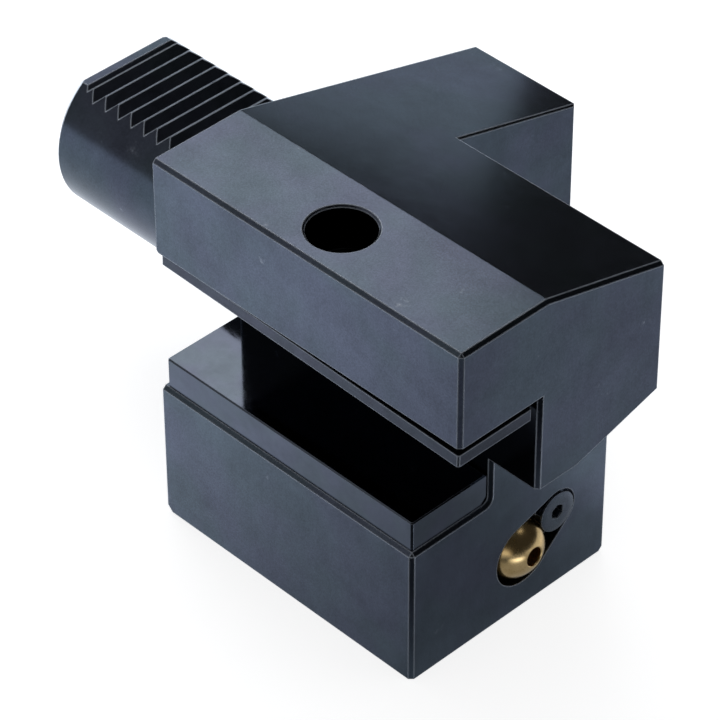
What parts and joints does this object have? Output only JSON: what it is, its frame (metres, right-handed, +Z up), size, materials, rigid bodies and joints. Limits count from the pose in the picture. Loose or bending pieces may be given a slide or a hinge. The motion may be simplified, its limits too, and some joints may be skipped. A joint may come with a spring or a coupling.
{
  "type": "turret tool holder",
  "caption": "Black steel turret tool holder with a round toothed shank, a side slot for a square tool, a clamp plate, a rest pad and a swivelling brass coolant nozzle.",
  "frame": {"origin": "where the axis of the round shank meets the contact face of the flange", "axes": "+X along the shank axis towards the head, +Z up, the tool slot opens towards -Y"},
  "size_m": [0.148, 0.091, 0.092],
  "materials": {
    "black_steel": "black oxide over fine ground faces",
    "ground_pad": "black oxide, finely ground and glossy",
    "screw_steel": "black oxide",
    "pin_steel": "bright ground",
    "spring_steel": "bright",
    "brass": "turned and lightly scuffed",
    "seal_rubber": "matt"
  },
  "bodies": {
    "holder": {"holder_body": "black_steel", "support_pad": "ground_pad", "pad_screw_rear": "screw_steel", "pad_screw_front": "screw_steel", "pad_pin_rear": "pin_steel", "pad_pin_front": "pin_steel", "nozzle_seal": "seal_rubber", "shank_seal": "seal_rubber", "inlet_seal": "seal_rubber", "side_plug": "screw_steel", "bottom_plug": "screw_steel", "shank_plug": "screw_steel", "spare_port_plug": "screw_steel"},
    "clamp_carrier": {"wave_washer": "spring_steel"},
    "clamp_plate": {"clamp_plate": "black_steel", "retaining_ring": "spring_steel"},
    "clamp_screw": {"clamp_screw": "screw_steel"},
    "nozzle_seat": {"nozzle_seat": "brass"},
    "ball_nozzle": {"ball_nozzle": "brass"},
    "nozzle_screw": {"nozzle_screw": "screw_steel"}
  },
  "joints": [
    {"name": "clamp_travel", "type": "slide", "parent": "holder", "child": "clamp_carrier", "axis": [0, 0, 1], "range_m": [-0.008, 0]},
    {"name": "clamp_screw_turn", "type": "hinge", "parent": "clamp_carrier", "child": "clamp_screw", "pos_m": [0.0418, -0.0343, 0.0232], "axis": [0, 0, 1], "range_deg": [-1921, 1]},
    {"name": "plate_rock", "type": "hinge", "parent": "clamp_carrier", "child": "clamp_plate", "pos_m": [0.0418, -0.0343, 0.0232], "axis": [0, -1, 0], "range_deg": [0, 2.9]},
    {"name": "nozzle_pan", "type": "hinge", "parent": "holder", "child": "nozzle_seat", "pos_m": [0.06825, -0.0133, -0.0322], "axis": [1, 0, 0], "continuous": true},
    {"name": "nozzle_tilt", "type": "hinge", "parent": "nozzle_seat", "child": "ball_nozzle", "pos_m": [0.06825, -0.0133, -0.0322], "axis": [0, -0.866, 0.5], "range_deg": [-29, 21]},
    {"name": "nozzle_screw_turn", "type": "hinge", "parent": "holder", "child": "nozzle_screw", "pos_m": [0.0725, -0.0039, -0.0268], "axis": [1, 0, 0], "range_deg": [0, 90]}
  ],
  "couplings": [
    {"joint": "clamp_screw_turn", "follows": "clamp_travel", "rad_per_m": 4188.8}
  ]
}
